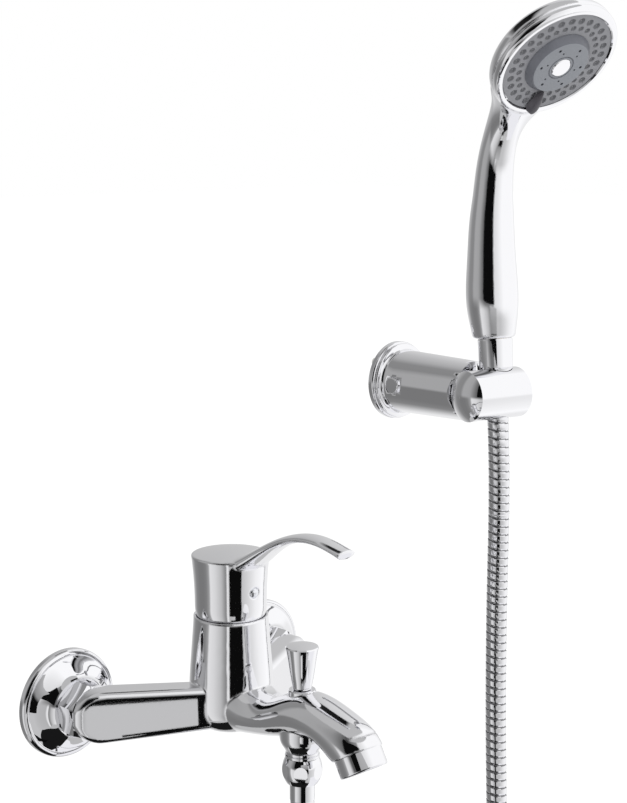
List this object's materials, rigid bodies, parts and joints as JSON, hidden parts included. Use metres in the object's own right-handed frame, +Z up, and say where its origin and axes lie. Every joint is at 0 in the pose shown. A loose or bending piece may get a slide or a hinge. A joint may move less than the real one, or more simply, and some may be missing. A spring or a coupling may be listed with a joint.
{
  "type": "wall mounted bath mixer tap",
  "caption": "Wall mounted bath and shower mixer with lever handle, curved spout, pull-up diverter, flexible hose, tilting wall holder and round-headed hand shower.",
  "frame": {"origin": "on the wall face, midway between the two supply pipes and level with them", "axes": "+X to the right along the wall, +Y into the wall, +Z up"},
  "size_m": [0.3511, 0.2061, 0.8742],
  "materials": {
    "chrome": "polished chrome plate on brass",
    "chromed_plastic": "polished chrome plate on moulded plastic",
    "hose_chrome": "chromed interlocked metal strip over a rubber hose",
    "brass": "turned brass",
    "rubber": "black rubber",
    "plastic": "moulded plastic",
    "ceramic": "lapped alumina ceramic",
    "steel": "stainless steel",
    "spray_grey": "matt blue-grey plastic",
    "dial_grey": "matt grey plastic",
    "button_grey": "grey plastic"
  },
  "bodies": {
    "root": {"wall_union_left": "brass", "wall_union_right": "brass", "wall_flange_left": "chrome", "wall_flange_right": "chrome", "union_nut_left": "chrome", "union_nut_right": "chrome", "inlet_washers": "rubber", "mixer_body": "chrome", "cartridge_housing": "plastic", "cartridge_seals": "rubber", "fixed_disc": "ceramic", "cartridge_nut": "brass", "diverter_bonnet": "chrome", "diverter_spring": "steel", "aerator_shell": "chrome", "aerator_insert": "plastic", "aerator_washer": "rubber", "outlet_nipple": "chrome", "outlet_washer": "rubber", "hose_nut": "chrome", "lower_ferrule": "chrome", "shower_hose": "hose_chrome", "holder_plate": "plastic", "holder_screws": "steel", "wall_plugs": "plastic", "holder_arm": "chromed_plastic", "arm_grub_screw": "chrome", "arm_screw_cap": "chromed_plastic", "holder_tongue": "chromed_plastic"},
    "rotor_body": {"rotor": "plastic", "rotor_pin": "steel"},
    "disc_body": {"moving_disc": "ceramic", "disc_carrier": "plastic"},
    "lever_body": {"spindle": "brass", "handle": "chrome", "handle_grub_screw": "chrome", "index_button": "button_grey"},
    "diverter_body": {"diverter_knob": "chrome", "diverter_stem": "brass", "diverter_disc": "rubber"},
    "head_body": {"holder_head": "chromed_plastic", "head_cap": "chromed_plastic", "friction_washer": "plastic", "pivot_screw": "brass"},
    "handset_body": {"handset_shell": "chromed_plastic", "face_ring": "chromed_plastic", "spray_plate": "spray_grey", "handset_inlet": "brass", "cone_nut": "chrome", "upper_washer": "rubber", "upper_ferrule": "chrome"},
    "selector_body": {"selector_dial": "dial_grey", "centre_button": "chromed_plastic"}
  },
  "joints": [
    {"name": "temperature_turn", "type": "hinge", "parent": "root", "child": "rotor_body", "pos_m": [0, -0.063, 0.064], "axis": [0, 0, 1], "range_deg": [-45, 45]},
    {"name": "flow_lift", "type": "hinge", "parent": "rotor_body", "child": "lever_body", "pos_m": [0, -0.063, 0.064], "axis": [-1, 0, 0], "range_deg": [0, 18]},
    {"name": "disc_slide", "type": "slide", "parent": "rotor_body", "child": "disc_body", "axis": [0, -1, 0], "range_m": [0, 0.0078]},
    {"name": "diverter_pull", "type": "slide", "parent": "root", "child": "diverter_body", "axis": [0, 0, 1], "range_m": [0, 0.0065], "stiffness_N_per_m": 300, "springref_m": -0.008, "deforming": ["diverter_spring"]},
    {"name": "holder_tilt", "type": "hinge", "parent": "root", "child": "head_body", "pos_m": [0.204, -0.0865, 0.169], "axis": [0.9829, -0.184, 0], "range_deg": [-6, 35], "deforming": ["shower_hose"]},
    {"name": "handset_lift", "type": "slide", "parent": "head_body", "child": "handset_body", "axis": [0.016, 0.0857, 0.9962], "range_m": [0, 0.025]},
    {"name": "spray_selector", "type": "hinge", "parent": "handset_body", "child": "selector_body", "pos_m": [0.20117, -0.13697, 0.37859], "axis": [-0.1355, -0.724, -0.6764], "range_deg": [-35, 35]}
  ],
  "couplings": [
    {"joint": "disc_slide", "follows": "flow_lift", "m_per_rad": 0.024788}
  ]
}
